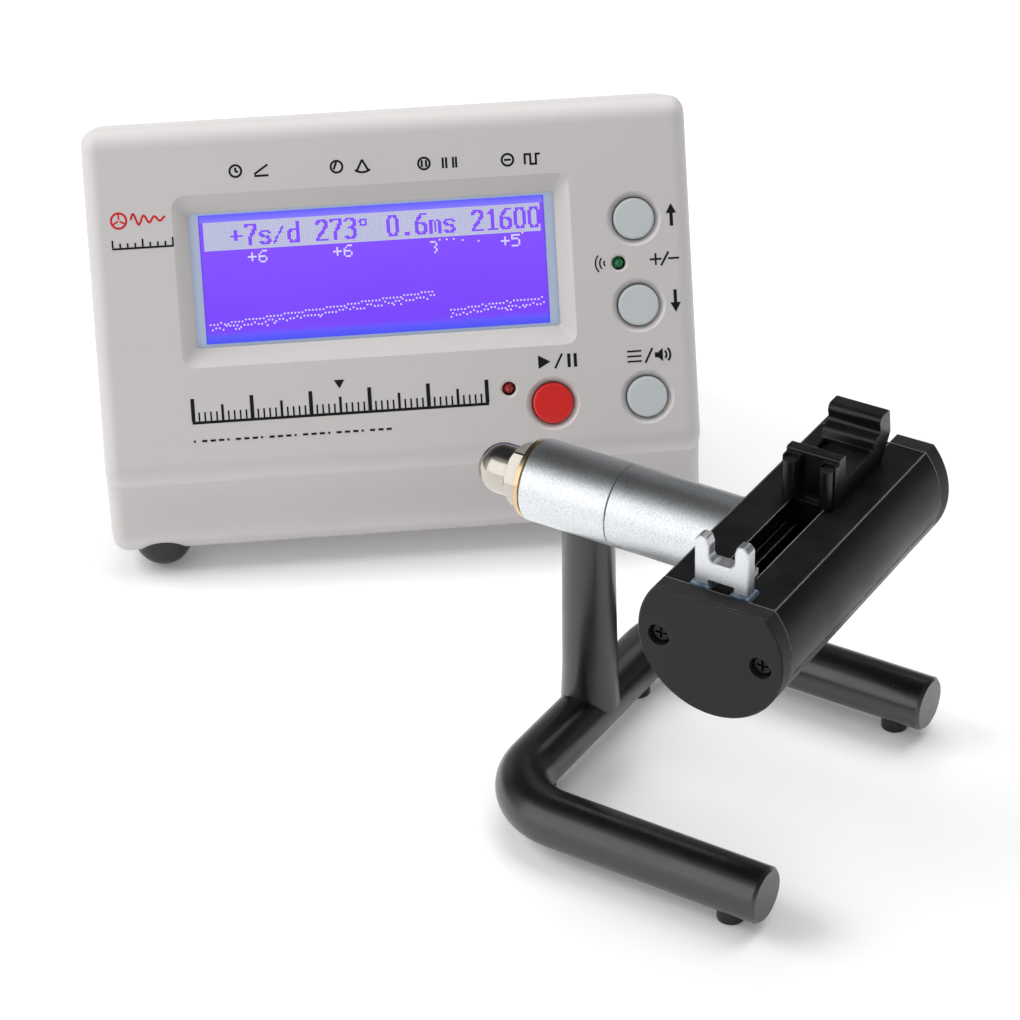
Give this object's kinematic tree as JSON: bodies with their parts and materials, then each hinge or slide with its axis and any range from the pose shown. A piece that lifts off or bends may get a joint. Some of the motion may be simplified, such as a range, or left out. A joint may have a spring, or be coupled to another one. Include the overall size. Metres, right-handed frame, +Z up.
{
  "type": "watch timegrapher",
  "caption": "Watch timing machine: a sloping display unit with a small screen and push buttons, and a separate microphone stand whose turning head clamps a watch.",
  "frame": {"origin": "centre of the footprint of the whole set, on the table", "axes": "+X to the right along the display unit, +Y to its back, +Z up; the stand's barrel points 37 degrees clockwise of +X seen from above"},
  "size_m": [0.2232, 0.2762, 0.1233],
  "materials": {
    "housing_plastic": "fine moulded texture",
    "base_plastic": "fine moulded texture",
    "button_grey": "satin",
    "button_red": "satin gloss",
    "rubber_black": "matte",
    "window_clear": "clear",
    "lcd_bezel": "satin",
    "lcd_blue": "lit display",
    "backlight_white": "diffuser",
    "board_green": "solder mask",
    "chip_black": "moulded package",
    "capacitor_sleeve": "sleeved can",
    "screw_zinc": "zinc plated",
    "led_green": "tinted, unlit",
    "led_red": "tinted, unlit",
    "ribbon_grey": "flat cable",
    "jack_black": "satin",
    "nickel": "bright nickel",
    "stand_black": "semi-gloss powder coat",
    "barrel_silver": "bead blasted",
    "brass": "satin",
    "head_black": "satin anodised",
    "cap_black": "matte blasted",
    "screw_black": "black oxide",
    "jaw_silver": "blasted",
    "isolator_blue": "translucent silicone",
    "jaw_black": "semi-gloss moulding",
    "spring_steel": "drawn wire"
  },
  "bodies": {
    "base": {"housing": "housing_plastic", "base_plate": "base_plastic", "plate_screws": "screw_zinc", "unit_feet": "rubber_black", "lcd_window": "window_clear", "lcd_frame": "lcd_bezel", "lcd_glass": "lcd_blue", "lcd_backlight": "backlight_white", "lcd_board": "board_green", "lcd_drivers": "chip_black", "button_board": "board_green", "tact_switches": "chip_black", "board_screws": "screw_zinc", "main_board": "board_green", "main_chips": "chip_black", "capacitors": "capacitor_sleeve", "buzzer": "chip_black", "ribbon_cable": "ribbon_grey", "dc_jack": "jack_black", "mic_jack": "nickel", "jack_nut": "nickel", "switch_body": "jack_black", "signal_led": "led_green", "run_led": "led_red", "stand_base": "stand_black", "stand_feet": "rubber_black", "post": "stand_black", "fixed_barrel": "barrel_silver", "friction_washer": "jack_black", "brass_washer": "brass"},
    "up_button": {"up_button": "button_grey"},
    "down_button": {"down_button": "button_grey"},
    "menu_button": {"menu_button": "button_grey"},
    "start_button": {"start_button": "button_red"},
    "power_rocker": {"power_rocker": "jack_black"},
    "jaw": {"sliding_jaw": "jaw_black", "jaw_pads": "rubber_black"},
    "head": {"rotating_barrel": "barrel_silver", "pivot_stud": "screw_zinc", "acorn_nut": "nickel", "head_body": "head_black", "head_cover": "head_black", "front_cap": "cap_black", "rear_cap": "cap_black", "cap_screws": "screw_black", "cover_screws": "screw_black", "fixed_jaw": "jaw_silver", "jaw_isolators": "isolator_blue", "piezo_sensor": "brass", "preamp_board": "board_green", "head_jack": "nickel", "guide_rod": "screw_zinc", "jaw_spring": "spring_steel"}
  },
  "joints": [
    {"name": "up_press", "type": "slide", "parent": "base", "child": "up_button", "axis": [0, 0.9063, -0.4226], "range_m": [0, 0.001], "stiffness_N_per_m": 400},
    {"name": "down_press", "type": "slide", "parent": "base", "child": "down_button", "axis": [0, 0.9063, -0.4226], "range_m": [0, 0.001], "stiffness_N_per_m": 400},
    {"name": "menu_press", "type": "slide", "parent": "base", "child": "menu_button", "axis": [0, 0.9063, -0.4226], "range_m": [0, 0.001], "stiffness_N_per_m": 400},
    {"name": "start_press", "type": "slide", "parent": "base", "child": "start_button", "axis": [0, 0.9063, -0.4226], "range_m": [0, 0.001], "stiffness_N_per_m": 400},
    {"name": "power_rock", "type": "hinge", "parent": "base", "child": "power_rocker", "pos_m": [0.02442, 0.11451, 0.06679], "axis": [0, 0.2349, 0.972], "range_deg": [-20, 0]},
    {"name": "head_tilt", "type": "hinge", "parent": "base", "child": "head", "pos_m": [0.01742, -0.04873, 0.078], "axis": [0.7986, -0.6018, 0], "continuous": true},
    {"name": "jaw_slide", "type": "slide", "parent": "head", "child": "jaw", "axis": [0.6018, 0.7986, 0], "range_m": [-0.035, 0.0085], "deforming": ["jaw_spring"]}
  ]
}
